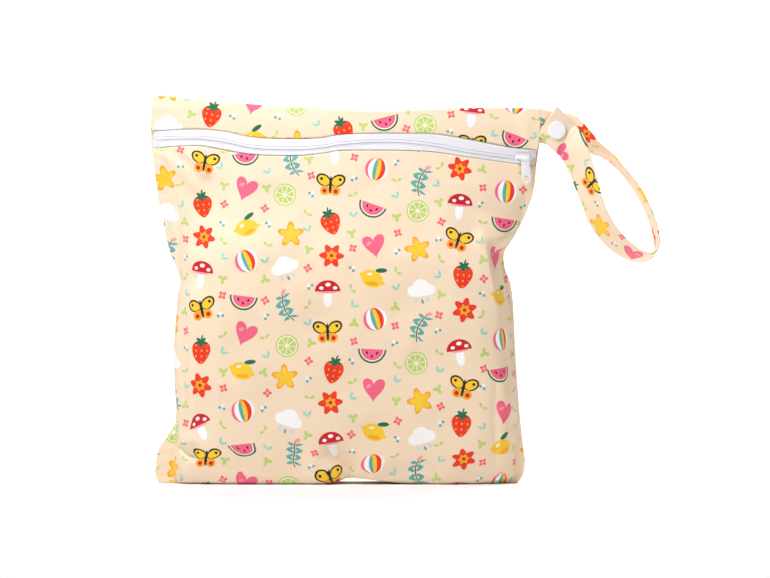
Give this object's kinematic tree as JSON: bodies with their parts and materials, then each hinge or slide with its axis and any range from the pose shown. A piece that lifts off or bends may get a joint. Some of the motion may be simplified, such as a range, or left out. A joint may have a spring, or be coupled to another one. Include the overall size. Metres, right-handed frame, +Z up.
{
  "type": "zipped cloth wet bag with wrist strap",
  "caption": "Soft zipped pouch of printed cloth, stuffed and standing, with a front zip and a snap-closed wrist strap.",
  "frame": {"origin": "on the floor, under the middle of the stuffed body", "axes": "+X to the strap's side, front faces -Y, +Z up from the base to the top edge"},
  "size_m": [0.3642, 0.0543, 0.278],
  "materials": {
    "cloth": "matt laminated cotton, cream with a printed pattern",
    "zip_tape": "white woven tape",
    "zip_coil": "white nylon coil",
    "zip_metal": "white enamel",
    "snap_plastic": "white satin plastic"
  },
  "bodies": {
    "bag": {"front_panel": "cloth", "top_band": "cloth", "back_panel": "cloth", "zipper_tape_lower": "zip_tape", "zipper_tape_upper": "zip_tape", "zipper_coil": "zip_coil", "zipper_slider": "zip_metal", "strap": "cloth", "snap_cap": "snap_plastic", "snap_core": "snap_plastic", "snap_back_cap": "snap_plastic"},
    "pull": {"zipper_pull": "zip_metal"}
  },
  "joints": [
    {"name": "pull_swing", "type": "hinge", "parent": "bag", "child": "pull", "pos_m": [0.12789, -0.0096, 0.23199], "axis": [-1, 0, 0], "range_deg": [0, 165]}
  ]
}
